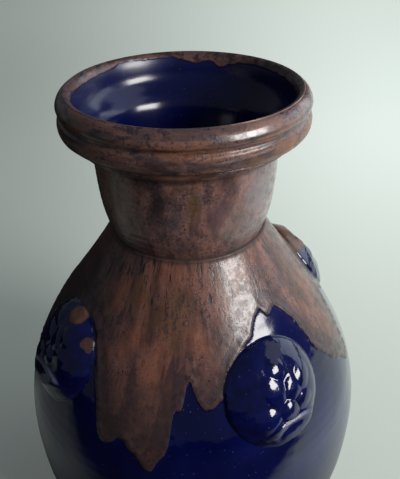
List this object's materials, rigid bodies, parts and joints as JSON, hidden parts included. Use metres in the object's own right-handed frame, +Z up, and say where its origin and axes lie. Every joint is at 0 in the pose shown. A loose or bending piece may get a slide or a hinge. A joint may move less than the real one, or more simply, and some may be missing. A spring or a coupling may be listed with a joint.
{
  "type": "vase",
  "caption": "Bottle-shaped stoneware flower vase with a round belly, cup-shaped neck, banded rolled rim and round moulded medallions on the shoulder, in cobalt and rust-brown glaze.",
  "frame": {"origin": "centre of the foot ring's resting face", "axes": "+Z up along the vase's axis, -Y towards the first medallion, which is the front"},
  "size_m": [0.185, 0.185, 0.2704],
  "materials": {
    "cobalt_glaze": "gloss",
    "rust_glaze": "satin",
    "bare_clay": "matte"
  },
  "bodies": {
    "root": {"foot_ring": "bare_clay", "body": "cobalt_glaze", "neck": "rust_glaze", "collar": "rust_glaze", "lip": "rust_glaze", "medallion_1": "cobalt_glaze", "medallion_2": "cobalt_glaze", "medallion_3": "cobalt_glaze", "medallion_4": "cobalt_glaze"}
  },
  "joints": []
}
